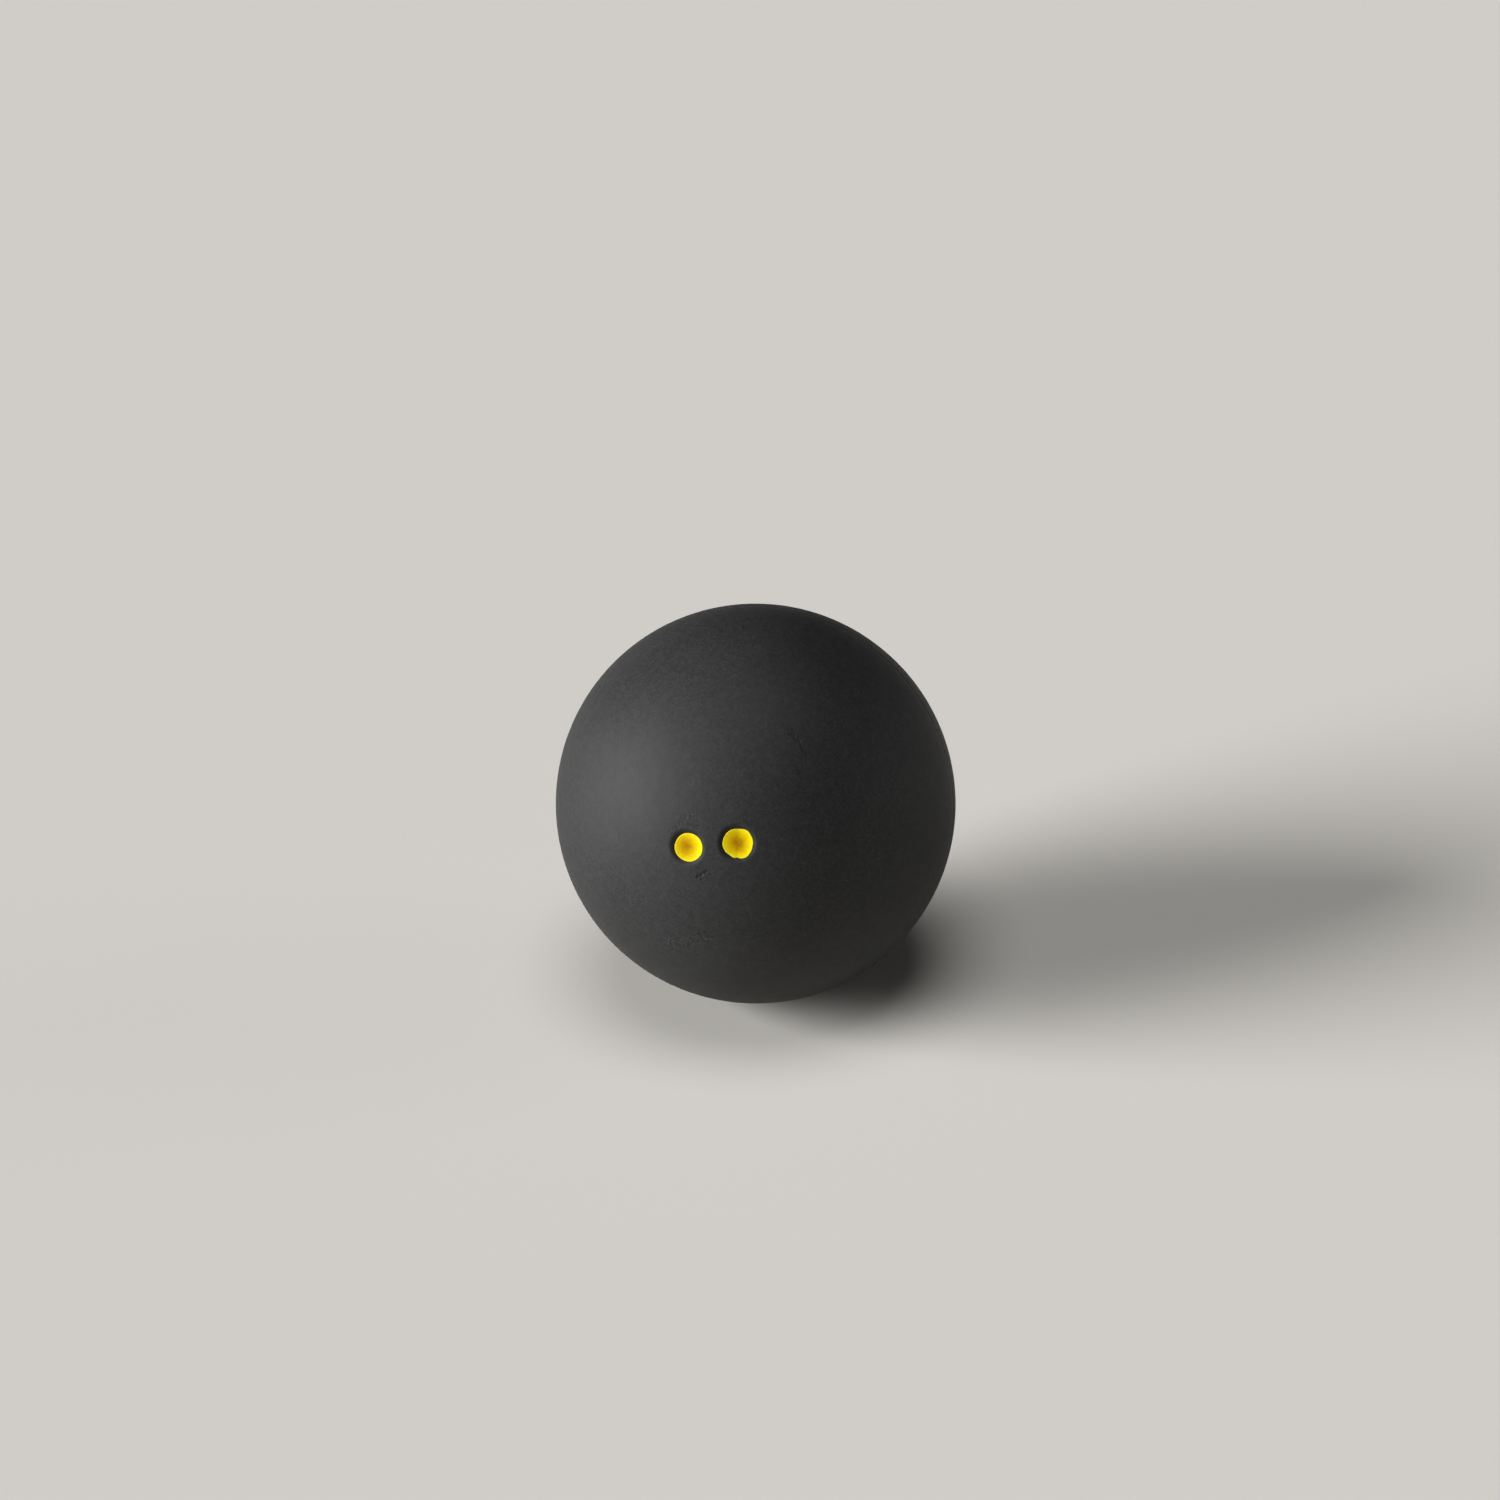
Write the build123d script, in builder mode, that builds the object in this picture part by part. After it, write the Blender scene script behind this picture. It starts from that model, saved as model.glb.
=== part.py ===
from build123d import *
from math import asin, cos, degrees, radians, sin, sqrt
import os

# A hollow squash ball. Two moulded rubber half shells meet rim to rim on a film of cement,
# and two paint dots lie in shallow dishes on the front shell's crown.
# Sizes are in millimetres and angles in degrees. The origin is the ball's centre, +Z is up,
# and the crown with the dots faces -Y.

# Shells
ball_diameter = 40.0
wall = 5.0

# Cemented seam
cement_film = 0.15  # thickness between the two flat rims
rim_chamfer = 0.6  # trimmed inner edge of each rim, which the cement fills
bead_rise = 0.4  # how far the squeezed-out bead stands into the hollow

# Dots and their dishes
left_dot_diameter = 3.0
right_dot_diameter = 3.1
bare_lip = 0.3  # unpainted edge of a dish, all round its dot
plain_gap = 1.27  # plain rubber between the two dishes, along the surface
dish_depth = 0.45  # from the plane of the lip to the dish's middle
lip_round = 0.5  # radius that eases a dish into the ball
paint_edge = 0.14  # thickness of the paint at its rounded edge
paint_middle = 0.08  # thickness of the paint at a dot's middle

# How the ball lies
crown_rise = 17.25  # angle of the crown above level
dot_row_turn = 7.1  # turn of the row of dots about the crown, right end up

# Sizes of the shells and of the rims, worked out from those above
outer_radius = ball_diameter / 2
inner_radius = outer_radius - wall
half_film = cement_film / 2
rim_angle = degrees(asin(half_film / outer_radius))
chamfer_top = half_film + rim_chamfer
chamfer_reach = sqrt(inner_radius**2 - chamfer_top**2)
chamfer_angle = degrees(asin(chamfer_top / inner_radius))
chamfer_foot = (chamfer_reach + rim_chamfer, half_film)

# Places: Z leaves the ball along each crown, or along the axis of each dot
rise = radians(crown_rise)
level_crown = Plane((0, 0, 0), x_dir=(1, 0, 0), z_dir=(0, -cos(rise), sin(rise)))
front_crown = level_crown.moved(Rotation(0, 0, dot_row_turn))
rear_crown = front_crown.moved(Rotation(180, 0, 0))

dot_spacing = (left_dot_diameter + right_dot_diameter) / 2 + 2 * bare_lip + plain_gap
dot_swing = degrees(dot_spacing / 2 / outer_radius)
left_place = front_crown.moved(Rotation(0, -dot_swing, 0)).offset(outer_radius)
right_place = front_crown.moved(Rotation(0, dot_swing, 0)).offset(outer_radius)
dots = {
    "left_paint_dot": (left_place, left_dot_diameter),
    "right_paint_dot": (right_place, right_dot_diameter),
}


def lengthwise(place):
    """The plane square to the row of dots, with a place's Z axis as its Y, for turned profiles."""
    return Plane(place.origin, x_dir=place.y_dir, z_dir=place.x_dir)


def turning_axis(place):
    return Axis(place.origin, place.z_dir)


def half_shell_profile(crown):
    """Half of a shell's section: outside, crown, inside, trimmed inner edge and flat rim."""
    with BuildSketch(lengthwise(crown)) as profile:
        with BuildLine():
            outside = CenterArc((0, 0), outer_radius, rim_angle, 90 - rim_angle)
            inside = CenterArc((0, 0), inner_radius, chamfer_angle, 90 - chamfer_angle)
            Line(outside @ 1, inside @ 1)
            Polyline(inside @ 0, chamfer_foot, outside @ 0)
        make_face()
    return profile.sketch


def bowl(dot_diameter):
    """A dish's bowl: the radius of its sphere, and the height of its centre over the ball's surface."""
    lip_radius = dot_diameter / 2 + bare_lip
    lip_drop = outer_radius - sqrt(outer_radius**2 - lip_radius**2)
    bowl_radius = (lip_radius**2 + dish_depth**2) / (2 * dish_depth)
    return bowl_radius, bowl_radius - dish_depth - lip_drop


def paint_profile(place, dot_diameter):
    """Half of a dot's section: bedded on its bowl, with a rounded edge and a dished top."""
    bowl_radius, bowl_height = bowl(dot_diameter)
    edge_angle = asin(dot_diameter / 2 / bowl_radius)

    def over_bowl(thickness, inset):
        """The point this thick over the bowl, this far in from the dot's edge."""
        angle = edge_angle - inset / bowl_radius
        reach = bowl_radius - thickness
        return (reach * sin(angle), bowl_height - reach * cos(angle))

    bulge = sin(radians(45))
    shoulder = over_bowl(paint_edge * bulge, paint_edge * (1 - bulge))
    crest = over_bowl(paint_edge, paint_edge)
    middle = (0, bowl_height - bowl_radius + paint_middle)
    with BuildSketch(lengthwise(place)) as profile:
        with BuildLine():
            bed = CenterArc((0, bowl_height), bowl_radius, -90, degrees(edge_angle))
            ThreePointArc(bed @ 1, shoulder, crest)
            TangentArc(middle, crest, tangent=(1, 0))
            Line(bed @ 0, middle)
        make_face()
    return profile.sketch


os.makedirs("parts", exist_ok=True)

# Front half shell, with a dish for each dot
with BuildPart() as front_half_shell:
    revolve(half_shell_profile(front_crown), axis=turning_axis(front_crown))
    for place, diameter in dots.values():
        bowl_radius, bowl_height = bowl(diameter)
        with Locations(place.offset(bowl_height)):
            Sphere(bowl_radius, mode=Mode.SUBTRACT)
        lip = edges(Select.NEW).filter_by(Edge.is_closed)
        fillet(lip, radius=lip_round)
front_half_shell.part.label = "front_half_shell"
export_step(front_half_shell.part, "parts/front_half_shell.step")

# Rear half shell
with BuildPart() as rear_half_shell:
    revolve(half_shell_profile(rear_crown), axis=turning_axis(rear_crown))
rear_half_shell.part.label = "rear_half_shell"
export_step(rear_half_shell.part, "parts/rear_half_shell.step")

# Cement between the rims, with the bead that it leaves inside
with BuildPart() as seam_cement:
    with BuildSketch(lengthwise(front_crown)):
        with BuildLine():
            outside = CenterArc((0, 0), outer_radius, -rim_angle, 2 * rim_angle)
            front_face = Polyline(outside @ 1, chamfer_foot, (chamfer_reach, chamfer_top))
            mirror(front_face, about=Plane.XZ)
            ThreePointArc(
                front_face @ 1, (inner_radius - bead_rise, 0), (chamfer_reach, -chamfer_top)
            )
        make_face()
    revolve(axis=turning_axis(front_crown))
seam_cement.part.label = "seam_cement"
export_step(seam_cement.part, "parts/seam_cement.step")

# Paint dots
for name, (place, diameter) in dots.items():
    with BuildPart() as paint_dot:
        revolve(paint_profile(place, diameter), axis=turning_axis(place))
    paint_dot.part.label = name
    export_step(paint_dot.part, f"parts/{name}.step")
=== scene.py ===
import math
from typing import NamedTuple

import bmesh
import bpy
from mathutils import Matrix, Vector


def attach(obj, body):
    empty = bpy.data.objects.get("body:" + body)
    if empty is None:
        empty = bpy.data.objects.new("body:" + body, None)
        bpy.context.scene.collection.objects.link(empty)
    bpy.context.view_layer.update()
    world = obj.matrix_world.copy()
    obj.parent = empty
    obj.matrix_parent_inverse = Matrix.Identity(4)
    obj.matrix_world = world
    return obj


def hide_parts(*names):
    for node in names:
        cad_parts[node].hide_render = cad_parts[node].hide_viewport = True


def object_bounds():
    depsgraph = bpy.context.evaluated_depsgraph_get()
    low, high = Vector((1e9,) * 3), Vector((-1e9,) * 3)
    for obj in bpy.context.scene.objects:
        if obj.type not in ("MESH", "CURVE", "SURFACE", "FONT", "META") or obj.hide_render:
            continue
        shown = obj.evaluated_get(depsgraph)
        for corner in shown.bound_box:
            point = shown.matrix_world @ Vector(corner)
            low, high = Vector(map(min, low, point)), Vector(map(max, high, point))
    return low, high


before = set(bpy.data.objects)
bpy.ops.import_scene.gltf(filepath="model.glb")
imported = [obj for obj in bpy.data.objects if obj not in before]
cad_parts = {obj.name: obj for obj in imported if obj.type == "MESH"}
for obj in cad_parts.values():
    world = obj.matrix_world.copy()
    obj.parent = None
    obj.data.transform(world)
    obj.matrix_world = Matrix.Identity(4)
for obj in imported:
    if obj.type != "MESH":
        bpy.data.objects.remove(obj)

# A squash ball: two rubber half shells cemented rim to rim and buffed, with two paint dots in dishes.
# Lengths are in metres, written as millimetres times MM. The ball's centre is the origin.

MM = 0.001
cad_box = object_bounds()

# Shells
BALL_RADIUS = min(cad_box[1] - cad_box[0]) / 2  # stays within the box of the solids
WALL = 5.0 * MM
CEMENT_FILM = 0.15 * MM  # between the two flat rims
RIM_ROUND = 0.02 * MM  # outer edge of each rim, eased by the buffing
RIM_CHAMFER = 0.6 * MM  # trimmed inner edge of each rim
BEAD_RISE = 0.4 * MM  # how far the cement stands into the hollow
BEAD_STEP = 15  # degrees between the corners of its round
GRAIN_SIZE = 0.8 * MM
GRAIN_DEPTH = 0.008 * MM
SWELL_SIZE = 11.0 * MM  # slow unevenness left by the buffing
SWELL_DEPTH = 0.03 * MM
SEAM_MARGIN = 5.0 * MM  # band beside the seam where the surface is ground true
SKIN = 1.0 * MM  # deeper than any dish, and much thinner than the wall
SMEAR_SIZE = 0.8 * MM  # unevenness of the cement's outer face
SMEAR_DEPTH = 0.02 * MM

# Grid of a shell: cells from side to side of the crown, cells down each side, rings inside
CELLS_ACROSS = 160
CELLS_DOWN = 75
INNER_RINGS = 16
CROWN_GATHER = 0.33  # size of the cells at the crown with the dishes, against an even grid
GATHER_POWER = 3.0
CREASE_ANGLE = math.radians(40)
RIM_TURNS = (30, 60, 90)  # steps of the eased outer edge, in degrees
MERGE_GAP = 0.001 * MM

# A shell's map, 1 by 1: the dome's disc in the middle, the inside and the rim in two corners
DOME_MIDDLE = (0.5, 0.5)
DOME_SPREAD = 0.495
INSIDE_MIDDLE = (0.08, 0.08)
RIM_MIDDLE = (0.92, 0.08)
CORNER_SPREAD = 0.075
INSIDE_MARGIN = 0.05 * MM  # a face this little over the inner radius is still the inside

# Dots and their dishes
DOT_SPACING = 4.92 * MM
BARE_LIP = 0.32 * MM  # rubber left bare between the paint and the dish's lip
DISH_DEPTH = 0.57 * MM
LIP_EASE = 0.26 * MM  # how softly the dish runs out into the ball
DISH_SHADE_DEPTH = 0.15 * MM  # depth into a dish at which the painted shade there is full
PAINT_EDGE = 0.08 * MM  # thickness of the paint, which pooled in the middle
PAINT_MIDDLE = 0.31 * MM
EDGE_HIGHLIGHT_WIDTH = 0.25 * MM  # width of the painted highlight along the edge of a dot
PAINT_RINGS = 26
PAINT_EDGE_RINGS = 6
PAINT_BED_RINGS = 4
PAINT_SPOKES = 120

# How far the paint lies from the dot of the solid, along and across the row
PAINT_SHIFT = Vector((-0.03, -0.05)) * MM


class Dot(NamedTuple):
    """A dot: its side of the row, its dish, its radius, its outline, and its darker patch: partly the
    paint's own dark middle, partly painted shade.
    """

    side: int
    dish_shift: Vector  # from the dot of the solid, along and across the row
    radius: float
    outline: tuple  # departures from a circle: angle from the row in degrees, share, spread in degrees
    dark_paint_and_shade_middle: Vector  # from the middle of the paint, along and across the row
    dark_paint_and_shade_spread: Vector
    dark_paint_and_shade: float  # at its darkest
    stain: float  # all over the dot


LEFT_DOT = Dot(
    side=-1,
    dish_shift=Vector((-0.18, 0.03)) * MM,
    radius=1.415 * MM,
    outline=((-160, 0.055, 30), (-60, -0.025, 24), (85, -0.02, 20), (25, 0.03, 20), (170, 0.03, 20)),
    dark_paint_and_shade_middle=Vector((-0.30, 0.08)) * MM,
    dark_paint_and_shade_spread=Vector((1.25, 1.35)) * MM,
    dark_paint_and_shade=0.84,
    stain=0.05,
)
RIGHT_DOT = Dot(
    side=1,
    dish_shift=Vector((-0.13, 0.02)) * MM,
    radius=1.48 * MM,
    outline=(
        (46, 0.055, 16),
        (84, -0.05, 18),
        (-68, 0.045, 14),
        (-99, -0.05, 8),
        (-132, -0.035, 14),
        (-18, -0.03, 16),
        (180, 0.025, 20),
    ),
    dark_paint_and_shade_middle=Vector((-0.10, 0.04)) * MM,
    dark_paint_and_shade_spread=Vector((1.06, 1.38)) * MM,
    dark_paint_and_shade=0.89,
    stain=0.0,
)

# How the ball lies, in degrees
CROWN_RISE = 17.25
DOT_ROW_TURN = 7.1

# How the photograph was taken
PICTURE = 1500  # pixels each way
BALL_PIXEL = (755.62, 803.46)
BALL_RADIUS_PIXELS = 200.12
LENS = 100.0  # millimetres
SENSOR = 36.0  # millimetres across
CAMERA_AZIMUTH = math.radians(13.16)
CAMERA_RISE = math.radians(28.0)
CAMERA_ROLL = math.radians(3.963)
NEAREST_SEEN = 10.0 * MM


class Scuff(NamedTuple):
    """A torn stroke on the rubber, between two pixels of the photograph."""

    start: tuple
    end: tuple
    reach: float  # from the stroke to where its mark ends
    strength: float


SCUFFS = (
    Scuff((697.5, 877.5), (706.0, 871.0), 0.45 * MM, 1.0),
    Scuff((701.0, 879.5), (711.0, 875.0), 0.40 * MM, 0.75),
    Scuff((801.5, 748.5), (806.0, 754.0), 0.40 * MM, 0.95),
    Scuff((797.0, 771.5), (800.5, 776.0), 0.45 * MM, 0.9),
    Scuff((790.0, 733.0), (799.0, 741.0), 0.80 * MM, 0.75),
    Scuff((670.0, 946.0), (706.0, 936.0), 1.50 * MM, 0.65),
    Scuff((671.0, 831.0), (681.0, 826.0), 0.45 * MM, 0.70),
    Scuff((688.0, 824.5), (700.0, 828.0), 0.45 * MM, 0.72),
    Scuff((681.0, 820.0), (695.0, 816.0), 0.60 * MM, 0.62),
)
SCUFF_CORE = 0.2  # share of its reach where a scuff is at its strongest
CUT_STRENGTH = 0.65  # from here up, a scuff is a cut


class Blotches(NamedTuple):
    """Cloudy unevenness of a surface: the size of its bumps, its draw and its finer octaves."""

    size: float
    seed: float
    detail: float


class Specks(NamedTuple):
    """Round specks strewn over a surface, in a share of its cells."""

    spacing: float
    radius: float
    share: float
    seed: float


# Rubber. A tone is how far a pattern lightens and darkens it, or the brightness that a mark leaves
RUBBER_BLACK = (0.020, 0.020, 0.0204)
RUBBER_ROUGHNESS = (0.61, 0.73)
RUBBER_SPECULAR = 0.25
BUFF_GRAIN = Blotches(size=0.18 * MM, seed=1.0, detail=3.0)
BUFF_GRAIN_TONE = 0.38
CLOUDS = Blotches(size=7.0 * MM, seed=2.0, detail=2.0)
CLOUDS_TONE = 0.07
MOTTLE = Blotches(size=0.8 * MM, seed=8.0, detail=1.0)
MOTTLE_TONE = 0.11
TEARS = Blotches(size=0.24 * MM, seed=5.0, detail=2.0)
TEARS_CONTRAST = (0.38, 0.62)  # values of its noise where a tear is at its darkest and lightest
TEARS_RANGE = (-1.0, 0.8)
TEARS_TONE = 0.65
CUT_TONE = 0.45
# painted shade: the rubber deep in a dish is darkened to this
DISH_SHADE_TONE = 0.65
PINHOLES = Specks(spacing=1.7 * MM, radius=0.14 * MM, share=0.30, seed=4.0)
PINHOLE_TONE = 0.5
FLECKS = Specks(spacing=1.3 * MM, radius=0.10 * MM, share=0.35, seed=3.0)
FLECK_GREY = (0.10, 0.10, 0.098, 1)
FLECK_COVER = 0.7
SCUFF_DUST = Specks(spacing=0.40 * MM, radius=0.13 * MM, share=0.70, seed=6.0)
SCUFF_DUST_COVER = 0.55  # against a fleck's
SPECK_CORE = 0.3  # share of its radius where a speck is at its strongest
NOISE_RANGE = (0.3, 0.7)  # holds nearly all of a noise

# Relief of the finishes, in millimetres
BUFF_GRAIN_RELIEF = 0.010
PINHOLE_RELIEF = -0.020
TEARS_RELIEF = 0.016
CUT_RELIEF = -0.030
CEMENT_RELIEF = 0.012
PAINT_RELIEF = 0.010

# Cement
CEMENT_BLACK = (0.019, 0.019, 0.019)
CEMENT_TONE = (0.7, 1.4)
CEMENT_ROUGHNESS = (0.45, 0.65)
CEMENT_SMEAR = Blotches(size=0.9 * MM, seed=6.0, detail=3.0)

# Paint
PAINT_YELLOW = (0.93, 0.74, 0.002, 1)
PAINT_EDGE_HIGHLIGHT = (0.86, 0.77, 0.02, 1)  # its edge, a painted highlight where the rounded rim catches the light
# the paint's own dark middle together with painted shade on the shaded side of each dish
PAINT_DARK_AND_SHADE = (0.255, 0.085, 0.002, 1)
PAINT_ROUGHNESS = (0.45, 0.58)
PAINT_SPECULAR = 0.02
PAINT_MOTTLE = Blotches(size=0.35 * MM, seed=7.0, detail=3.0)
# random unevenness of the darker patch, its painted shade included
DARK_PAINT_AND_SHADE_UNEVENNESS = 0.06

# Floor
FLOOR_BEIGE = (0.62, 0.60, 0.565, 1)
FLOOR_SIZE = 60.0


class Light(NamedTuple):
    """A broad, far light, such as a large softbox well back from the ball."""

    side: float  # degrees from the camera
    rise: float  # degrees
    spread: float  # degrees across, seen from the ball
    strength: float  # watts on a square metre


LIGHTS = {
    "key_light": Light(side=-82, rise=17, spread=34, strength=6.5),
    "top_light": Light(side=0, rise=80, spread=36, strength=1.2),
    "fill_light": Light(side=90, rise=15, spread=30, strength=0.32),
}
SKY = 0.01


class Sheet:
    """A node tree being drawn up: each call adds a node and sets or links its inputs."""

    def __init__(self, tree):
        self.tree = tree

    def add(self, kind, inputs=(), **settings):
        node = self.tree.nodes.new(kind)
        for name, value in settings.items():
            setattr(node, name, value)
        for name, value in dict(inputs).items():
            if isinstance(value, bpy.types.NodeSocket):
                self.tree.links.new(value, node.inputs[name])
            else:
                node.inputs[name].default_value = value
        return node

    def math(self, operation, *values):
        return self.add("ShaderNodeMath", enumerate(values), operation=operation).outputs[0]

    def vector(self, operation, *values):
        return self.add("ShaderNodeVectorMath", enumerate(values), operation=operation).outputs["Vector"]

    def measure(self, operation, *values):
        return self.add("ShaderNodeVectorMath", enumerate(values), operation=operation).outputs["Value"]

    def scaled(self, vector, factor):
        node = self.add("ShaderNodeVectorMath", {0: vector, "Scale": factor}, operation="SCALE")
        return node.outputs["Vector"]

    def height(self, vector):
        return self.add("ShaderNodeSeparateXYZ", {0: vector}).outputs["Z"]

    def upright(self, height):
        return self.add("ShaderNodeCombineXYZ", {"Z": height}).outputs[0]

    def ramp(self, value, low, high, out_low=0.0, out_high=1.0, ease="LINEAR"):
        node = self.add(
            "ShaderNodeMapRange",
            {"Value": value, "From Min": low, "From Max": high, "To Min": out_low, "To Max": out_high},
            interpolation_type=ease,
        )
        return node.outputs["Result"]

    def swing(self, noise, low, high):
        """From one value to another, as a noise goes through its range."""
        return self.ramp(noise, *NOISE_RANGE, low, high)

    def noise(self, place, size, seed, detail=2.0):
        """Noise from about 0 to 1, with bumps of this size."""
        node = self.add(
            "ShaderNodeTexNoise",
            {"Vector": place, "W": seed, "Scale": self.math("DIVIDE", 1.0, size), "Detail": detail},
            noise_dimensions="4D",
        )
        return node.outputs["Fac"]

    def mixed(self, factor, first, second):
        """One colour turning into another."""
        node = self.add("ShaderNodeMix", {0: factor, 6: first, 7: second}, data_type="RGBA")
        return node.outputs[2]


# Camera at the photograph's angle


def heading_to(azimuth, rise):
    """Direction from the ball to what stands at this azimuth, this far above level."""
    return Vector((math.sin(azimuth) * math.cos(rise), -math.cos(azimuth) * math.cos(rise), math.sin(rise)))


back = heading_to(CAMERA_AZIMUTH, CAMERA_RISE)
level_right = Vector((math.cos(CAMERA_AZIMUTH), math.sin(CAMERA_AZIMUTH), 0))
level_up = back.cross(level_right)
right = math.cos(CAMERA_ROLL) * level_right - math.sin(CAMERA_ROLL) * level_up
up = math.sin(CAMERA_ROLL) * level_right + math.cos(CAMERA_ROLL) * level_up
focal_pixels = LENS / SENSOR * PICTURE


def sight_line(pixel):
    """Direction from the camera through a pixel of the photograph."""
    aside = (pixel[0] - PICTURE / 2) / focal_pixels
    below = (pixel[1] - PICTURE / 2) / focal_pixels
    return (aside * right - below * up - back).normalized()


ball_distance = math.hypot(BALL_RADIUS * focal_pixels / BALL_RADIUS_PIXELS, BALL_RADIUS)
camera_place = -ball_distance * sight_line(BALL_PIXEL)


def on_ball(pixel):
    """The point of the ball that the photograph shows at a pixel."""
    sight = sight_line(pixel)
    nearest = -sight.dot(camera_place)
    aside = (camera_place + nearest * sight).length
    return camera_place + (nearest - math.sqrt(BALL_RADIUS**2 - aside**2)) * sight


camera_data = bpy.data.cameras.new("camera")
camera_data.lens = LENS
camera_data.sensor_width = SENSOR
camera_data.clip_start = NEAREST_SEEN
camera = bpy.data.objects.new("camera", camera_data)
camera.matrix_world = Matrix.Translation(camera_place) @ Matrix((right, up, back)).transposed().to_4x4()
bpy.context.collection.objects.link(camera)
bpy.context.scene.camera = camera


# Finishes as node trees


def material_sheet(name):
    """A new material: the sheet to draw on, its shader and the place on the piece."""
    material = bpy.data.materials.new(name)
    material.use_nodes = True
    sheet = Sheet(material.node_tree)
    shader = material.node_tree.nodes["Principled BSDF"]
    place = sheet.add("ShaderNodeTexCoord").outputs["Object"]
    return material, sheet, shader, place


def dress(sheet, shader, colour, roughness, relief):
    """Gives a shader its colour, its roughness and its relief in millimetres."""
    bump = sheet.add("ShaderNodeBump", {"Height": relief, "Distance": MM})
    sheet.tree.links.new(colour, shader.inputs["Base Color"])
    sheet.tree.links.new(roughness, shader.inputs["Roughness"])
    sheet.tree.links.new(bump.outputs[0], shader.inputs["Normal"])


def carried(sheet, attribute):
    """A value that the mesh carries."""
    return sheet.add("ShaderNodeAttribute", attribute_name=attribute).outputs["Fac"]


def strewn(sheet, place, specks, share):
    """Specks in this share of the cells: 1 at the middle of each and 0 outside."""
    cells = sheet.add(
        "ShaderNodeTexVoronoi",
        {"Vector": place, "W": specks.seed, "Scale": 1 / specks.spacing},
        voronoi_dimensions="4D",
    )
    edge = specks.radius / specks.spacing
    spot = sheet.ramp(cells.outputs["Distance"], SPECK_CORE * edge, edge, 1.0, 0.0)
    chance = sheet.add("ShaderNodeSeparateXYZ", {0: cells.outputs["Color"]}).outputs["X"]
    return sheet.math("MULTIPLY", spot, sheet.math("LESS_THAN", chance, share))


def scuffed_share(sheet, place):
    """How strongly a place is scuffed."""
    scuffed = 0.0
    for scuff in SCUFFS:
        start = on_ball(scuff.start)
        stroke = on_ball(scuff.end) - start
        from_start = sheet.vector("SUBTRACT", place, start)
        along = sheet.measure("DOT_PRODUCT", from_start, stroke / stroke.length_squared)
        nearest = sheet.vector("ADD", sheet.scaled(stroke, sheet.ramp(along, 0.0, 1.0)), start)
        away = sheet.measure("DISTANCE", place, nearest)
        core = SCUFF_CORE * scuff.reach
        mark = sheet.ramp(away, core, scuff.reach, scuff.strength, 0.0, ease="SMOOTHSTEP")
        scuffed = sheet.math("MAXIMUM", mark, scuffed)
    return scuffed


def buffed_rubber():
    """Matte black rubber: buffed grain, dusty flecks, pinholes and scuffs, with painted shade darkening the
    dishes.
    """
    material, sheet, shader, place = material_sheet("buffed_rubber")
    grain = sheet.noise(place, *BUFF_GRAIN)
    clouds = sheet.noise(place, *CLOUDS)
    mottle = sheet.noise(place, *MOTTLE)
    flecks = strewn(sheet, place, FLECKS, FLECKS.share)
    pinholes = strewn(sheet, place, PINHOLES, PINHOLES.share)
    # painted shade in the dishes, as deep as the dish tree stored
    dish_shade = carried(sheet, "dish_shade")
    scuffed = scuffed_share(sheet, place)
    cut = sheet.ramp(scuffed, CUT_STRENGTH, 1.0)
    tears = sheet.ramp(sheet.noise(place, *TEARS), *TEARS_CONTRAST, *TEARS_RANGE)
    tears = sheet.math("MULTIPLY", scuffed, tears)
    dust = strewn(sheet, place, SCUFF_DUST, sheet.math("MULTIPLY", scuffed, SCUFF_DUST.share))

    tone = 1.0
    for part in (
        sheet.swing(grain, 1 - BUFF_GRAIN_TONE, 1 + BUFF_GRAIN_TONE),
        sheet.swing(clouds, 1 - CLOUDS_TONE, 1 + CLOUDS_TONE),
        sheet.swing(mottle, 1 - MOTTLE_TONE, 1 + MOTTLE_TONE),
        sheet.ramp(pinholes, 0.0, 1.0, 1.0, PINHOLE_TONE),
        sheet.ramp(tears, -1.0, 1.0, 1 - TEARS_TONE, 1 + TEARS_TONE),
        sheet.ramp(cut, 0.0, 1.0, 1.0, CUT_TONE),
        sheet.ramp(dish_shade, 0.0, 1.0, 1.0, DISH_SHADE_TONE),
    ):
        tone = sheet.math("MULTIPLY", part, tone)
    dusty = sheet.math("MAXIMUM", flecks, sheet.math("MULTIPLY", dust, SCUFF_DUST_COVER))
    dusty = sheet.math("MULTIPLY", dusty, FLECK_COVER)
    colour = sheet.mixed(dusty, sheet.scaled(RUBBER_BLACK, tone), FLECK_GREY)

    relief = 0.0
    for part, height in (
        (grain, BUFF_GRAIN_RELIEF),
        (pinholes, PINHOLE_RELIEF),
        (tears, TEARS_RELIEF),
        (cut, CUT_RELIEF),
    ):
        relief = sheet.math("ADD", sheet.math("MULTIPLY", part, height), relief)
    dress(sheet, shader, colour, sheet.swing(grain, *RUBBER_ROUGHNESS), relief)
    shader.inputs["Specular IOR Level"].default_value = RUBBER_SPECULAR
    return material


def cured_cement():
    """Satin black cement, a little uneven where it was ground off."""
    material, sheet, shader, place = material_sheet("cured_cement")
    smear = sheet.noise(place, *CEMENT_SMEAR)
    colour = sheet.scaled(CEMENT_BLACK, sheet.swing(smear, *CEMENT_TONE))
    relief = sheet.math("MULTIPLY", smear, CEMENT_RELIEF)
    dress(sheet, shader, colour, sheet.swing(smear, *CEMENT_ROUGHNESS), relief)
    return material


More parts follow.
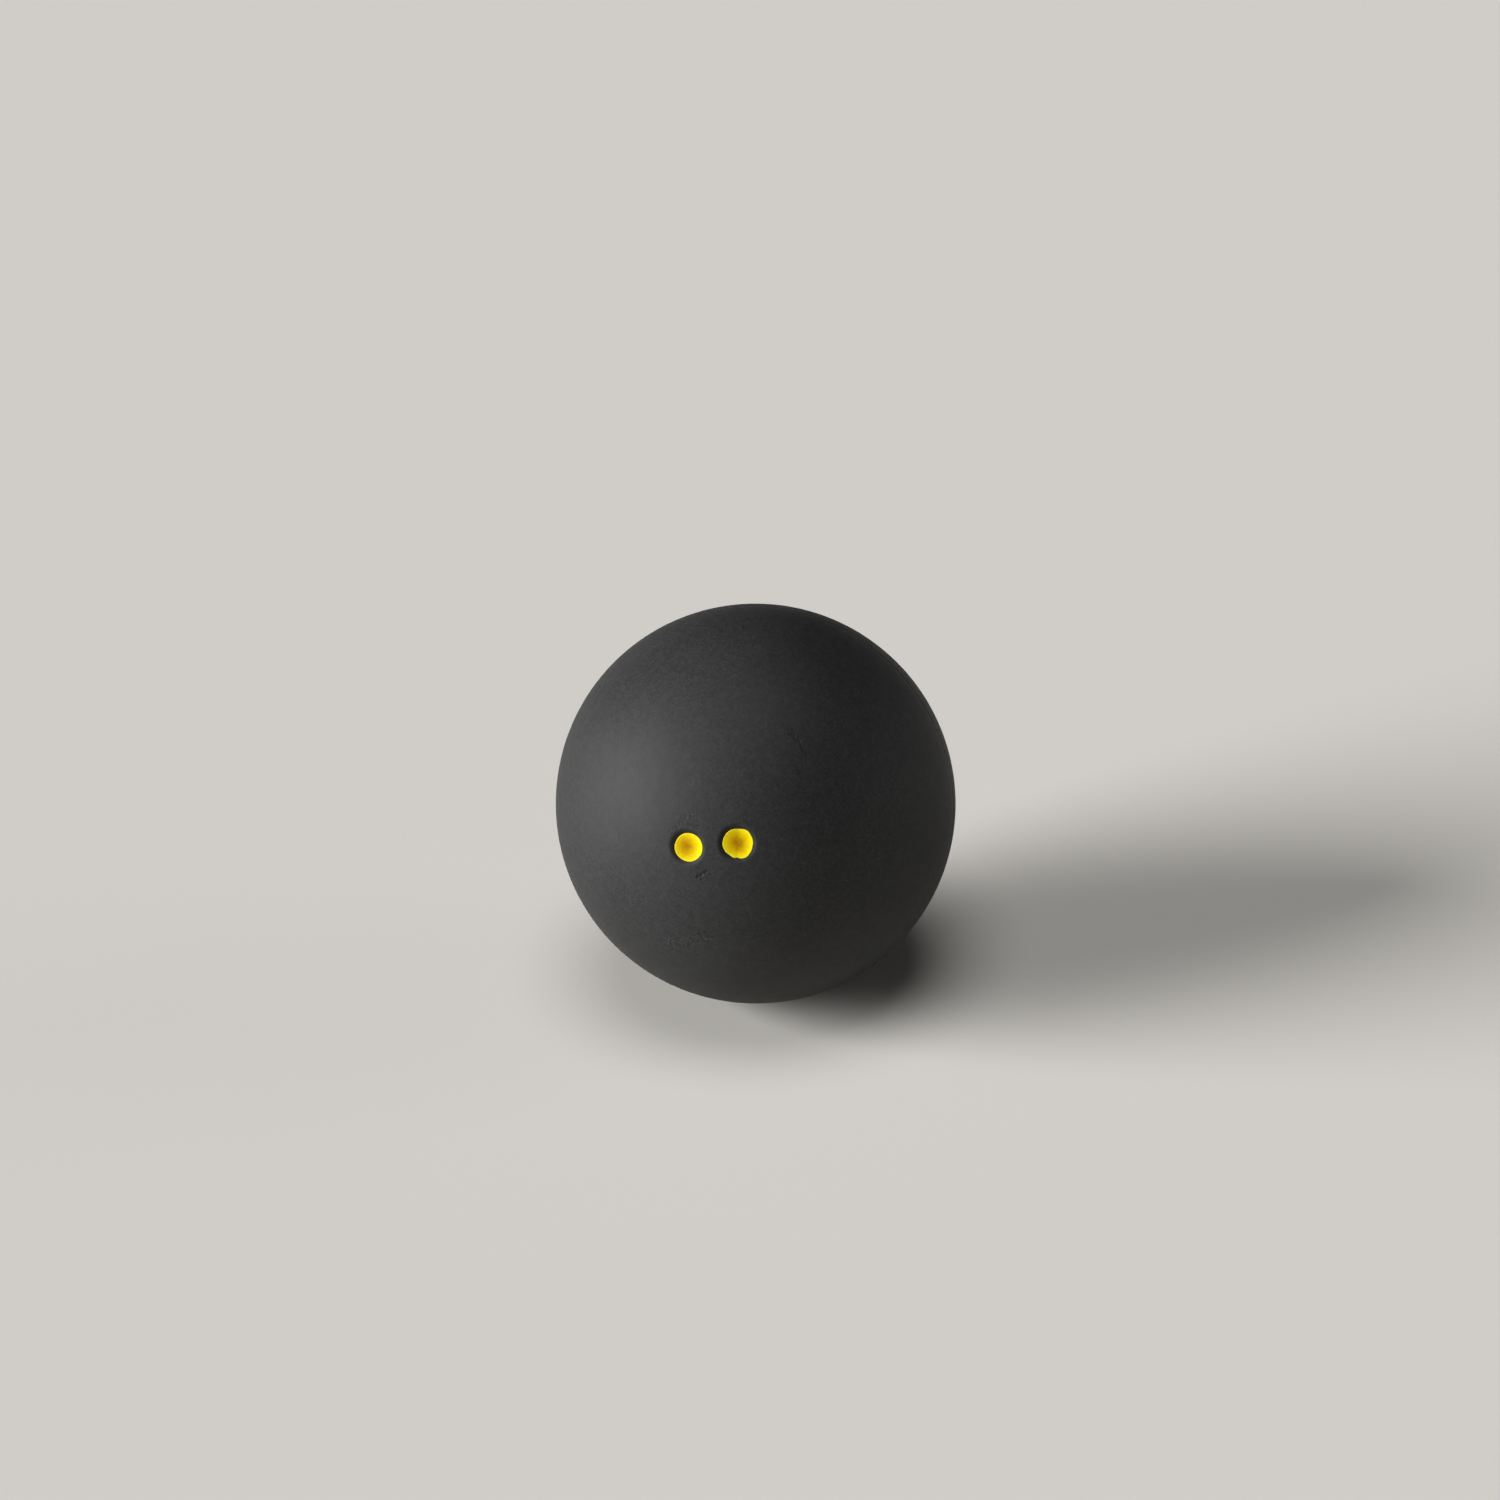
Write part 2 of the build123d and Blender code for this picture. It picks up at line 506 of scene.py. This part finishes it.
def yellow_dot_paint():
    """Yellow paint, with a painted highlight along the edge of each dot and a darker patch in it: partly
    the paint's own dark middle, partly painted shade on the shaded side of the dish.
    """
    material, sheet, shader, place = material_sheet("yellow_dot_paint")
    mottle = sheet.noise(place, *PAINT_MOTTLE)
    # the darker patch, partly the paint's own dark middle and partly painted shade, made a little uneven
    uneven = sheet.swing(mottle, -DARK_PAINT_AND_SHADE_UNEVENNESS, DARK_PAINT_AND_SHADE_UNEVENNESS)
    dark_paint_and_shade = sheet.math("ADD", carried(sheet, "dark_paint_and_shade"), uneven)
    # painted highlight along the edge of each dot
    undarkened_paint = sheet.mixed(carried(sheet, "edge"), PAINT_YELLOW, PAINT_EDGE_HIGHLIGHT)
    colour = sheet.mixed(dark_paint_and_shade, undarkened_paint, PAINT_DARK_AND_SHADE)
    relief = sheet.math("MULTIPLY", mottle, PAINT_RELIEF)
    dress(sheet, shader, colour, sheet.swing(mottle, *PAINT_ROUGHNESS), relief)
    shader.inputs["Specular IOR Level"].default_value = PAINT_SPECULAR
    return material


def pale_floor():
    """Matte beige, without a gloss that would show at a low angle."""
    material = bpy.data.materials.new("pale_floor")
    material.use_nodes = True
    shader = material.node_tree.nodes["Principled BSDF"]
    shader.inputs["Base Color"].default_value = FLOOR_BEIGE
    shader.inputs["Roughness"].default_value = 1.0
    shader.inputs["Specular IOR Level"].default_value = 0.0
    return material


# Geometry trees

SOCKETS = {int: "NodeSocketInt", float: "NodeSocketFloat", tuple: "NodeSocketVector"}
SHELL_SIZES = {
    "Ball radius": BALL_RADIUS,
    "Wall": WALL,
    "Cement film": CEMENT_FILM,
    "Rim round": RIM_ROUND,
    "Rim chamfer": RIM_CHAMFER,
    "Grain size": GRAIN_SIZE,
    "Grain depth": GRAIN_DEPTH,
    "Swell size": SWELL_SIZE,
    "Swell depth": SWELL_DEPTH,
    "Cells across": CELLS_ACROSS,
    "Cells down": CELLS_DOWN,
    "Inner rings": INNER_RINGS,
    "Crown gather": CROWN_GATHER,
    "Seed": 1.0,
}
DISH_SIZES = {
    "Axis": (0.0, 0.0, 1.0),
    "Ball radius": BALL_RADIUS,
    "Bowl radius": 1.0 * MM,
    "Bowl height": 1.0 * MM,
    "Lip ease": LIP_EASE,
    "Dish shade depth": DISH_SHADE_DEPTH,
}
RING_SIZES = {
    "Ball radius": BALL_RADIUS,
    "Steps": 4 * CELLS_ACROSS,
    "Smear size": SMEAR_SIZE,
    "Smear depth": SMEAR_DEPTH,
    "Seed": 1.0,
}


def geometry_tree(name, sizes):
    """A geometry tree with an input for each named size: the sheet to draw on, and its inputs."""
    tree = bpy.data.node_groups.new(name, "GeometryNodeTree")
    tree.is_modifier = True
    tree.interface.new_socket("Geometry", in_out="INPUT", socket_type="NodeSocketGeometry")
    tree.interface.new_socket("Geometry", in_out="OUTPUT", socket_type="NodeSocketGeometry")
    for size, value in sizes.items():
        socket = tree.interface.new_socket(size, in_out="INPUT", socket_type=SOCKETS[type(value)])
        socket.default_value = value
    sheet = Sheet(tree)
    return sheet, sheet.add("NodeGroupInput").outputs


def close_tree(sheet, geometry, material):
    """Smooths the faces but for sharp edges, gives them their finish and ends the tree."""
    smooth = sheet.add("GeometryNodeSetShadeSmooth", {"Geometry": geometry, "Shade Smooth": True})
    angle = sheet.add("GeometryNodeInputMeshEdgeAngle").outputs["Unsigned Angle"]
    creased = sheet.add(
        "GeometryNodeSetShadeSmooth",
        {
            "Geometry": smooth.outputs[0],
            "Selection": sheet.math("GREATER_THAN", angle, CREASE_ANGLE),
            "Shade Smooth": False,
        },
        domain="EDGE",
    )
    whole = sheet.add("GeometryNodeRealizeInstances", {"Geometry": creased.outputs[0]})
    finished = sheet.add("GeometryNodeSetMaterial", {"Geometry": whole.outputs[0], "Material": material})
    sheet.add("NodeGroupOutput", {0: finished.outputs[0]})
    return sheet.tree


def add_ring(sheet, geometry, reach, height):
    """Draws the open edge of a shell on to a ring with this reach from the crown's axis, at this height."""
    position = sheet.add("GeometryNodeInputPosition").outputs[0]
    faces = sheet.add("GeometryNodeInputMeshEdgeNeighbors").outputs["Face Count"]
    drawn = sheet.add(
        "GeometryNodeExtrudeMesh",
        {"Mesh": geometry, "Selection": sheet.math("LESS_THAN", faces, 1.5), "Offset Scale": 0.0},
        mode="EDGES",
    )
    heading = sheet.vector("NORMALIZE", sheet.vector("MULTIPLY", position, (1, 1, 0)))
    place = sheet.vector("ADD", sheet.scaled(heading, reach), sheet.upright(height))
    ring = sheet.add(
        "GeometryNodeSetPosition",
        {"Geometry": drawn.outputs["Mesh"], "Selection": drawn.outputs["Top"], "Position": place},
    )
    return ring.outputs[0]


def half_shell_tree(rubber):
    """Half a ball, crown up: a gridded dome, eased over into a flat rim, and a smooth inside."""
    sheet, size = geometry_tree("half_shell", SHELL_SIZES)
    position = sheet.add("GeometryNodeInputPosition").outputs[0]
    ball_radius = size["Ball radius"]
    half_film = sheet.math("MULTIPLY", size["Cement film"], 0.5)
    wall_foot = sheet.math("ADD", half_film, size["Rim round"])

    # A box with no floor
    across = sheet.math("ADD", size["Cells across"], 1)
    down = sheet.math("ADD", size["Cells down"], 1)
    box = sheet.add(
        "GeometryNodeMeshCube",
        {"Size": (2, 2, 1), "Vertices X": across, "Vertices Y": across, "Vertices Z": down},
    )
    lifted = sheet.add(
        "GeometryNodeTransform", {"Geometry": box.outputs["Mesh"], "Translation": (0, 0, 0.5)}
    )
    facing = sheet.height(sheet.add("GeometryNodeInputNormal").outputs["Normal"])
    open_box = sheet.add(
        "GeometryNodeDeleteGeometry",
        {"Geometry": lifted.outputs[0], "Selection": sheet.math("LESS_THAN", facing, -0.5)},
        domain="FACE",
    )

    # The box blown up to a dome, its cells gathered at the crown
    blown = sheet.vector("NORMALIZE", sheet.vector("TANGENT", sheet.scaled(position, math.pi / 4)))
    share = sheet.math("DIVIDE", sheet.math("ARCCOSINE", sheet.height(blown)), math.pi / 2)
    spread = sheet.math("POWER", share, GATHER_POWER)
    spread = sheet.ramp(spread, 0.0, 1.0, size["Crown gather"], 1.0)
    foot_angle = sheet.math("ARCCOSINE", sheet.math("DIVIDE", wall_foot, ball_radius))
    slant = sheet.math("MULTIPLY", sheet.math("MULTIPLY", share, spread), foot_angle)
    heading = sheet.vector("NORMALIZE", sheet.vector("MULTIPLY", blown, (1, 1, 0)))
    out = sheet.vector(
        "ADD",
        sheet.scaled(heading, sheet.math("SINE", slant)),
        sheet.upright(sheet.math("COSINE", slant)),
    )

    # Grain and swell, which die out where the seam was ground true
    skin = sheet.scaled(out, ball_radius)
    grain = sheet.noise(skin, size["Grain size"], size["Seed"], detail=0.0)
    swell = sheet.noise(skin, size["Swell size"], size["Seed"], detail=0.0)
    worn = sheet.math(
        "ADD",
        sheet.math("MULTIPLY", grain, size["Grain depth"]),
        sheet.math("MULTIPLY", swell, size["Swell depth"]),
    )
    over_seam = sheet.math("SUBTRACT", sheet.height(skin), wall_foot)
    worn = sheet.math("MULTIPLY", worn, sheet.ramp(over_seam, 0.0, SEAM_MARGIN, ease="SMOOTHSTEP"))
    dome = sheet.add(
        "GeometryNodeSetPosition",
        {
            "Geometry": open_box.outputs[0],
            "Position": sheet.scaled(out, sheet.math("SUBTRACT", ball_radius, worn)),
        },
    )

    # The eased outer edge, the flat rim, and the inside from the trimmed edge to the crown
    shell = dome.outputs[0]
    for turn in RIM_TURNS:
        inset = sheet.math("MULTIPLY", size["Rim round"], 1 - math.cos(math.radians(turn)))
        lowered = sheet.math("MULTIPLY", size["Rim round"], 1 - math.sin(math.radians(turn)))
        shell = add_ring(
            sheet,
            shell,
            sheet.math("SUBTRACT", ball_radius, inset),
            sheet.math("ADD", half_film, lowered),
        )
    inner_radius = sheet.math("SUBTRACT", ball_radius, size["Wall"])
    chamfer_top = sheet.math("ADD", half_film, size["Rim chamfer"])
    chamfer_angle = sheet.math("ARCSINE", sheet.math("DIVIDE", chamfer_top, inner_radius))
    chamfer_reach = sheet.math("MULTIPLY", inner_radius, sheet.math("COSINE", chamfer_angle))
    shell = add_ring(sheet, shell, sheet.math("ADD", chamfer_reach, size["Rim chamfer"]), half_film)
    first = sheet.add("GeometryNodeRepeatInput")
    last = sheet.add("GeometryNodeRepeatOutput")
    first.pair_with_output(last)
    sheet.tree.links.new(sheet.math("ADD", size["Inner rings"], 1), first.inputs["Iterations"])
    sheet.tree.links.new(shell, first.inputs["Geometry"])
    part = sheet.math("DIVIDE", first.outputs["Iteration"], size["Inner rings"])
    climb = sheet.ramp(part, 0.0, 1.0, chamfer_angle, math.pi / 2)
    inner_ring = add_ring(
        sheet,
        first.outputs["Geometry"],
        sheet.math("MULTIPLY", inner_radius, sheet.math("COSINE", climb)),
        sheet.math("MULTIPLY", inner_radius, sheet.math("SINE", climb)),
    )
    sheet.tree.links.new(inner_ring, last.inputs["Geometry"])
    closed = sheet.add(
        "GeometryNodeMergeByDistance", {"Geometry": last.outputs["Geometry"], "Distance": MERGE_GAP}
    )
    return close_tree(sheet, unrolled(sheet, closed.outputs[0], ball_radius, inner_radius), rubber)


def unrolled(sheet, geometry, ball_radius, inner_radius):
    """Gives a shell its map: the dome as a disc of equal areas, the inside and the rim in two corners."""
    position = sheet.add("GeometryNodeInputPosition").outputs[0]
    away = sheet.measure("LENGTH", position)
    face_away = sheet.add("GeometryNodeFieldOnDomain", {0: away}, domain="FACE").outputs[0]
    is_dome = sheet.math("GREATER_THAN", face_away, sheet.math("SUBTRACT", ball_radius, SKIN))
    is_inside = sheet.math("LESS_THAN", face_away, sheet.math("ADD", inner_radius, INSIDE_MARGIN))
    flat = sheet.vector("MULTIPLY", position, (1, 1, 0))
    lean = sheet.math("SUBTRACT", 1.0, sheet.height(sheet.vector("NORMALIZE", position)))
    disc = sheet.scaled(sheet.vector("NORMALIZE", flat), sheet.math("SQRT", lean))
    plan = sheet.scaled(flat, sheet.math("DIVIDE", 1.0, ball_radius))

    def placed(shape, radius, middle):
        return sheet.vector("ADD", sheet.scaled(shape, radius), (*middle, 0))

    def either(choice, yes, no):
        node = sheet.add("GeometryNodeSwitch", {0: choice, "False": no, "True": yes}, input_type="VECTOR")
        return node.outputs[0]

    inside = placed(disc, CORNER_SPREAD, INSIDE_MIDDLE)
    rim = placed(plan, CORNER_SPREAD, RIM_MIDDLE)
    corner = either(is_inside, inside, rim)
    spot = either(is_dome, placed(disc, DOME_SPREAD, DOME_MIDDLE), corner)
    stored = sheet.add(
        "GeometryNodeStoreNamedAttribute",
        {"Geometry": geometry, "Name": "OFBake"},
        data_type="FLOAT2",
        domain="CORNER",
    )
    sheet.tree.links.new(spot, stored.inputs["Value"])
    return stored.outputs[0]


def pressed_dish_tree(rubber):
    """Presses a round dish with an eased lip into the outside of a shell, and stores how deep each point
    lies, for the painted shade in the dish.
    """
    sheet, size = geometry_tree("pressed_dish", DISH_SIZES)
    position = sheet.add("GeometryNodeInputPosition").outputs[0]
    height = sheet.measure("DOT_PRODUCT", position, size["Axis"])
    aside = sheet.vector("SUBTRACT", position, sheet.scaled(size["Axis"], height))
    reach = sheet.measure("LENGTH", aside)
    below = sheet.math(
        "SUBTRACT",
        sheet.math("POWER", size["Bowl radius"], 2.0),
        sheet.math("POWER", reach, 2.0),
    )
    depth = sheet.math("SQRT", sheet.math("MAXIMUM", below, 0.0))
    middle = sheet.math("ADD", size["Ball radius"], size["Bowl height"])
    bowl = sheet.math("SUBTRACT", middle, depth)
    pressed = sheet.math("SMOOTH_MIN", height, bowl, size["Lip ease"])
    outside = sheet.math("GREATER_THAN", height, sheet.math("SUBTRACT", size["Ball radius"], 2 * SKIN))
    # painted shade in the dish: none at the lip, full where the dish lies deeper than its shade depth
    dish_shade_share = sheet.ramp(sheet.math("SUBTRACT", height, pressed), 0.0, size["Dish shade depth"])
    before = sheet.add("GeometryNodeInputNamedAttribute", {"Name": "dish_shade"}).outputs["Attribute"]
    marked = sheet.add("GeometryNodeStoreNamedAttribute", {"Geometry": size["Geometry"], "Name": "dish_shade"})
    deepest = sheet.math("MAXIMUM", sheet.math("MULTIPLY", dish_shade_share, outside), before)
    sheet.tree.links.new(deepest, marked.inputs["Value"])
    dished = sheet.add(
        "GeometryNodeSetPosition",
        {
            "Geometry": marked.outputs[0],
            "Selection": outside,
            "Position": sheet.vector("ADD", aside, sheet.scaled(size["Axis"], pressed)),
        },
    )
    return close_tree(sheet, dished.outputs[0], rubber)


def turned_ring_tree(cement):
    """Carries the section that comes in round the seam, with an outer face that is a little uneven."""
    sheet, size = geometry_tree("turned_ring", RING_SIZES)
    section = sheet.add("GeometryNodeMeshToCurve", {"Mesh": size["Geometry"]})
    path = sheet.add(
        "GeometryNodeCurvePrimitiveCircle", {"Resolution": size["Steps"], "Radius": size["Ball radius"]}
    )
    ring = sheet.add(
        "GeometryNodeCurveToMesh",
        {"Curve": path.outputs["Curve"], "Profile Curve": section.outputs["Curve"]},
    )
    position = sheet.add("GeometryNodeInputPosition").outputs[0]
    away = sheet.measure("LENGTH", position)
    heading = sheet.vector("NORMALIZE", sheet.vector("MULTIPLY", position, (1, 1, 0)))
    outer = sheet.math("GREATER_THAN", away, sheet.math("SUBTRACT", size["Ball radius"], SKIN))
    smear = sheet.noise(position, size["Smear size"], size["Seed"])
    sunk = sheet.math("MULTIPLY", sheet.math("MULTIPLY", smear, size["Smear depth"]), -1.0)
    uneven = sheet.add(
        "GeometryNodeSetPosition",
        {"Geometry": ring.outputs["Mesh"], "Selection": outer, "Offset": sheet.scaled(heading, sunk)},
    )
    return close_tree(sheet, uneven.outputs[0], cement)


def grown_mesh(name, steps, start=None):
    """The plain mesh that geometry trees make in turn; each step is a tree and the sizes that it gets."""
    base = bpy.data.objects.new(name, start or bpy.data.meshes.new(name))
    bpy.context.collection.objects.link(base)
    for tree, sizes in steps:
        modifier = base.modifiers.new(tree.name, "NODES")
        modifier.node_group = tree
        for item in tree.interface.items_tree:
            if item.in_out == "INPUT" and item.name in sizes:
                modifier[item.identifier] = sizes[item.name]
    evaluated = base.evaluated_get(bpy.context.evaluated_depsgraph_get())
    mesh = bpy.data.meshes.new_from_object(evaluated)
    bpy.data.objects.remove(base)
    return mesh


# Shapes made point by point


def bowl_of_dish(dot):
    """The bowl of a dot's dish: its sphere's radius, and its middle's height over the ball's surface."""
    lip_radius = dot.radius + BARE_LIP
    lip_drop = BALL_RADIUS - math.sqrt(BALL_RADIUS**2 - lip_radius**2)
    bowl_radius = (lip_radius**2 + DISH_DEPTH**2) / (2 * DISH_DEPTH)
    return bowl_radius, bowl_radius - DISH_DEPTH - lip_drop


def cement_section():
    """Outline of the cement: a thin film that widens between the trimmed edges into a rounded bead."""
    half_film = CEMENT_FILM / 2
    inner_radius = BALL_RADIUS - WALL
    chamfer_top = half_film + RIM_CHAMFER
    chamfer_reach = math.sqrt(inner_radius**2 - chamfer_top**2)
    bead_depth = chamfer_reach - (inner_radius - BEAD_RISE)
    upper = [
        (BALL_RADIUS - RIM_ROUND, 0.0),
        (BALL_RADIUS - RIM_ROUND, half_film),
        (chamfer_reach + RIM_CHAMFER, half_film),
        (chamfer_reach, chamfer_top),
    ]
    for turn in range(BEAD_STEP, 90, BEAD_STEP):
        angle = math.radians(turn)
        upper.append((chamfer_reach - bead_depth * math.sin(angle), chamfer_top * math.cos(angle)))
    bead_top = (chamfer_reach - bead_depth, 0.0)
    lower = [(reach, -height) for reach, height in reversed(upper[1:])]
    outline = [*upper, bead_top, *lower]
    mesh = bpy.data.meshes.new("cement_section")
    corners = [(reach - BALL_RADIUS, height, 0.0) for reach, height in outline]
    edges = [(i, (i + 1) % len(corners)) for i in range(len(corners))]
    mesh.from_pydata(corners, edges, [])
    return mesh


def paint_dot_mesh(name, dot, place, paint):
    """A dot of dried paint that pooled in its dish: an uneven outline and a rounded edge."""
    bowl_radius, bowl_height = bowl_of_dish(dot)
    middle = PAINT_SHIFT - dot.dish_shift
    mesh_sheet = bmesh.new()
    dark_paint_and_shade_layer = mesh_sheet.verts.layers.float.new("dark_paint_and_shade")
    edge_highlight_layer = mesh_sheet.verts.layers.float.new("edge")

    def edge_reach(angle):
        share = 1.0
        for bump_middle, amount, spread in dot.outline:
            turn = (math.degrees(angle) - bump_middle + 180) % 360 - 180
            share += amount * math.exp(-((turn / spread) ** 2))
        return dot.radius * share

    def vertex(share, angle, on_top):
        reach = share * edge_reach(angle)
        from_middle = Vector((reach * math.cos(angle), reach * math.sin(angle)))
        flat = middle + from_middle
        inset = min((edge_reach(angle) - reach) / PAINT_EDGE, 1.0)
        pool = PAINT_MIDDLE - (PAINT_MIDDLE - PAINT_EDGE) * share**2
        thickness = pool * math.sqrt(1 - (1 - inset) ** 2) if on_top else 0.0
        height = BALL_RADIUS + bowl_height - math.sqrt(bowl_radius**2 - flat.length_squared) + thickness
        new = mesh_sheet.verts.new(place @ Vector((*flat, height)))
        # the darker patch: partly the paint's own dark middle, partly painted shade on the dish's shaded
        # side
        along, across = from_middle - dot.dark_paint_and_shade_middle
        from_dark_paint_and_shade = math.hypot(along / dot.dark_paint_and_shade_spread.x, across / dot.dark_paint_and_shade_spread.y)
        new[dark_paint_and_shade_layer] = dot.stain + dot.dark_paint_and_shade * math.exp(-(from_dark_paint_and_shade**2))
        # painted highlight along the edge of the dot
        new[edge_highlight_layer] = math.exp(-(((edge_reach(angle) - reach) / EDGE_HIGHLIGHT_WIDTH) ** 2))
        return new

    edge_share = PAINT_EDGE / dot.radius
    shares = [ring / PAINT_RINGS * (1 - edge_share) for ring in range(1, PAINT_RINGS + 1)]
    for ring in range(1, PAINT_EDGE_RINGS + 1):
        turn = math.pi / 2 * ring / PAINT_EDGE_RINGS
        shares.append(1 - edge_share * (1 - math.sin(turn)))
    rows = [(share, True) for share in shares]
    rows += [(ring / PAINT_BED_RINGS, False) for ring in range(PAINT_BED_RINGS - 1, 0, -1)]
    angles = [2 * math.pi * spoke / PAINT_SPOKES for spoke in range(PAINT_SPOKES)]
    rings = [[vertex(share, angle, on_top) for angle in angles] for share, on_top in rows]
    top_middle = vertex(0.0, 0.0, True)
    bed_middle = vertex(0.0, 0.0, False)
    for spoke in range(PAINT_SPOKES):
        after = (spoke + 1) % PAINT_SPOKES
        mesh_sheet.faces.new((top_middle, rings[0][spoke], rings[0][after]))
        mesh_sheet.faces.new((bed_middle, rings[-1][after], rings[-1][spoke]))
        for inner, outer in zip(rings, rings[1:]):
            mesh_sheet.faces.new((inner[spoke], outer[spoke], outer[after], inner[after]))
    bmesh.ops.recalc_face_normals(mesh_sheet, faces=mesh_sheet.faces)
    for face in mesh_sheet.faces:
        face.smooth = True
    mesh = bpy.data.meshes.new(name)
    mesh_sheet.to_mesh(mesh)
    mesh_sheet.free()
    mesh.materials.append(paint)
    return mesh


# Pieces

front_crown = Matrix.Rotation(math.radians(90 - CROWN_RISE), 3, "X") @ Matrix.Rotation(
    math.radians(DOT_ROW_TURN), 3, "Z"
)
rear_crown = front_crown @ Matrix.Rotation(math.pi, 3, "X")
dot_swing = DOT_SPACING / 2 / BALL_RADIUS

rubber = buffed_rubber()
cement = cured_cement()
paint = yellow_dot_paint()

shell_tree = half_shell_tree(rubber)
dish_tree = pressed_dish_tree(rubber)
ring_tree = turned_ring_tree(cement)


def hand_over(name, mesh, node):
    """Makes a mesh a piece that rides on the ball in place of its plain solid."""
    piece = bpy.data.objects.new(name, mesh)
    bpy.context.collection.objects.link(piece)
    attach(piece, "root")
    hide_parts(node)


def dish_turn(dot):
    """Turns the crown's axis to the axis of a dot's dish."""
    along = dot.side * dot_swing + dot.dish_shift.x / BALL_RADIUS
    across = -dot.dish_shift.y / BALL_RADIUS
    return Matrix.Rotation(along, 3, "Y") @ Matrix.Rotation(across, 3, "X")


def dish_step(dot):
    """The step that presses a dot's dish into a shell."""
    bowl_radius, bowl_height = bowl_of_dish(dot)
    axis = dish_turn(dot) @ Vector((0, 0, 1))
    return dish_tree, {"Axis": tuple(axis), "Bowl radius": bowl_radius, "Bowl height": bowl_height}


front_steps = [(shell_tree, {"Seed": 1.0}), dish_step(LEFT_DOT), dish_step(RIGHT_DOT)]
front_mesh = grown_mesh("front_half_shell_buffed", front_steps)
front_mesh.transform(front_crown.to_4x4())
hand_over("front_half_shell_buffed", front_mesh, "front_half_shell")

rear_mesh = grown_mesh("rear_half_shell_buffed", [(shell_tree, {"Seed": 2.0, "Crown gather": 1.0})])
rear_mesh.transform(rear_crown.to_4x4())
hand_over("rear_half_shell_buffed", rear_mesh, "rear_half_shell")

cement_mesh = grown_mesh("seam_cement_cured", [(ring_tree, {"Seed": 3.0})], start=cement_section())
cement_mesh.transform(front_crown.to_4x4())
hand_over("seam_cement_cured", cement_mesh, "seam_cement")

for dot, name, node in (
    (LEFT_DOT, "left_dot_painted", "left_paint_dot"),
    (RIGHT_DOT, "right_dot_painted", "right_paint_dot"),
):
    dot_mesh = paint_dot_mesh(name, dot, front_crown @ dish_turn(dot), paint)
    hand_over(name, dot_mesh, node)


# Floor and light

bpy.ops.mesh.primitive_plane_add(size=FLOOR_SIZE, location=(0, 0, cad_box[0].z))
floor = bpy.context.object
floor.name = "floor"
floor.data.materials.append(pale_floor())

for name, light in LIGHTS.items():
    away = heading_to(CAMERA_AZIMUTH + math.radians(light.side), math.radians(light.rise))
    lamp_data = bpy.data.lights.new(name, "SUN")
    lamp_data.angle = math.radians(light.spread)
    lamp_data.energy = light.strength
    lamp = bpy.data.objects.new(name, lamp_data)
    lamp.rotation_euler = away.to_track_quat("Z", "Y").to_euler()
    bpy.context.collection.objects.link(lamp)

# The camera sees a backdrop as bright as the floor, which lights nothing
world = bpy.data.worlds.new("studio")
world.use_nodes = True
studio = Sheet(world.node_tree)
sky = studio.add("ShaderNodeBackground", {"Color": (1, 1, 1, 1), "Strength": SKY})
sun_on_floor = sum(light.strength * math.sin(math.radians(light.rise)) for light in LIGHTS.values())
floor_light = SKY + sun_on_floor / math.pi
backdrop = studio.add("ShaderNodeBackground", {"Color": FLOOR_BEIGE, "Strength": floor_light})
seen = studio.add("ShaderNodeLightPath").outputs["Is Camera Ray"]
both = studio.add("ShaderNodeMixShader", {0: seen, 1: sky.outputs[0], 2: backdrop.outputs[0]})
studio.tree.links.new(both.outputs[0], studio.tree.nodes["World Output"].inputs["Surface"])
bpy.context.scene.world = world
bpy.context.scene.view_settings.view_transform = "Standard"
